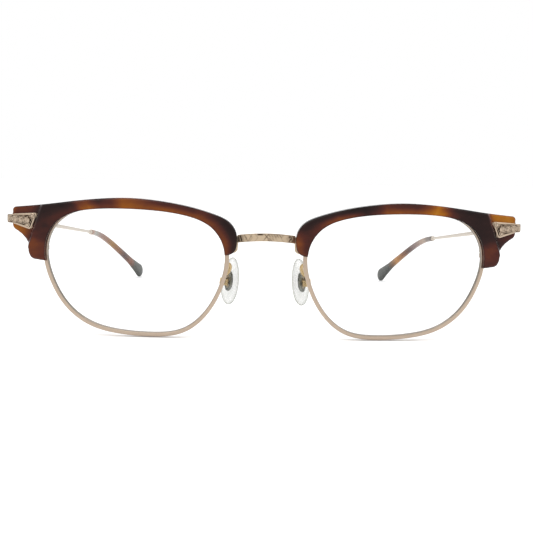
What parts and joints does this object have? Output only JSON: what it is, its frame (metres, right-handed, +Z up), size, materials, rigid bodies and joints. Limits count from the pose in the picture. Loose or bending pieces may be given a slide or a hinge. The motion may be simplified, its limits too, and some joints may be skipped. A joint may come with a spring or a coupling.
{
  "type": "browline spectacles",
  "caption": "Browline spectacles: metal rims and bridge under tortoiseshell acetate brows, with folding wire temples and rocking clear nose pads.",
  "frame": {"origin": "on the table that the open spectacles stand on, under the middle of their box", "axes": "+X to the wearer's left, +Y from the front back along the temples, +Z up"},
  "size_m": [0.1422, 0.147, 0.0374],
  "materials": {
    "rim_metal": "satin antique rose gold plate",
    "engraved_metal": "engraved antique gold plate, darker in the cuts",
    "temple_metal": "satin pale gold plate",
    "pad_metal": "bright gold plate",
    "screw_steel": "plated steel",
    "tortoise_acetate": "polished tortoiseshell cellulose acetate",
    "tip_acetate": "polished tortoiseshell cellulose acetate",
    "pad_clear": "clear moulded plastic",
    "lens_glass": "clear coated lens"
  },
  "bodies": {
    "front": {"bridge": "engraved_metal", "brow_left": "tortoise_acetate", "brow_right": "tortoise_acetate", "brow_screw_inner_left": "screw_steel", "brow_screw_inner_right": "screw_steel", "brow_screw_outer_left": "screw_steel", "brow_screw_outer_right": "screw_steel", "corner_plate_left": "engraved_metal", "corner_plate_right": "engraved_metal", "endpiece_left": "engraved_metal", "endpiece_right": "engraved_metal", "hinge_front_left": "temple_metal", "hinge_front_right": "temple_metal", "hinge_screw_left": "screw_steel", "hinge_screw_right": "screw_steel", "lens_left": "lens_glass", "lens_right": "lens_glass", "pad_arm_left": "pad_metal", "pad_arm_right": "pad_metal", "pad_box_left": "pad_metal", "pad_box_right": "pad_metal", "pad_screw_left": "screw_steel", "pad_screw_right": "screw_steel", "rim_left": "rim_metal", "rim_right": "rim_metal", "rim_screw_left": "screw_steel", "rim_screw_right": "screw_steel", "rivet_lower_left": "engraved_metal", "rivet_lower_right": "engraved_metal", "rivet_upper_left": "engraved_metal", "rivet_upper_right": "engraved_metal"},
    "temple_left": {"hinge_temple_left": "temple_metal", "temple_left": "temple_metal", "temple_tip_left": "tip_acetate", "tip_ferrule_left": "engraved_metal"},
    "temple_right": {"hinge_temple_right": "temple_metal", "temple_right": "temple_metal", "temple_tip_right": "tip_acetate", "tip_ferrule_right": "engraved_metal"},
    "pad_left": {"nose_pad_left": "pad_clear", "pad_core_left": "pad_metal"},
    "pad_right": {"nose_pad_right": "pad_clear", "pad_core_right": "pad_metal"}
  },
  "joints": [
    {"name": "temple_left_fold", "type": "hinge", "parent": "front", "child": "temple_left", "pos_m": [0.069, -0.05953, 0.03085], "axis": [0, 0, 1], "range_deg": [0, 85]},
    {"name": "temple_right_fold", "type": "hinge", "parent": "front", "child": "temple_right", "pos_m": [-0.069, -0.05953, 0.03085], "axis": [0, 0, -1], "range_deg": [0, 80]},
    {"name": "pad_left_tilt", "type": "hinge", "parent": "front", "child": "pad_left", "pos_m": [0.01139, -0.06436, 0.01465], "axis": [0.5256, 0.8093, 0.2622], "range_deg": [-10, 10]},
    {"name": "pad_right_tilt", "type": "hinge", "parent": "front", "child": "pad_right", "pos_m": [-0.01139, -0.06436, 0.01465], "axis": [-0.5256, 0.8093, 0.2622], "range_deg": [-10, 10]}
  ]
}
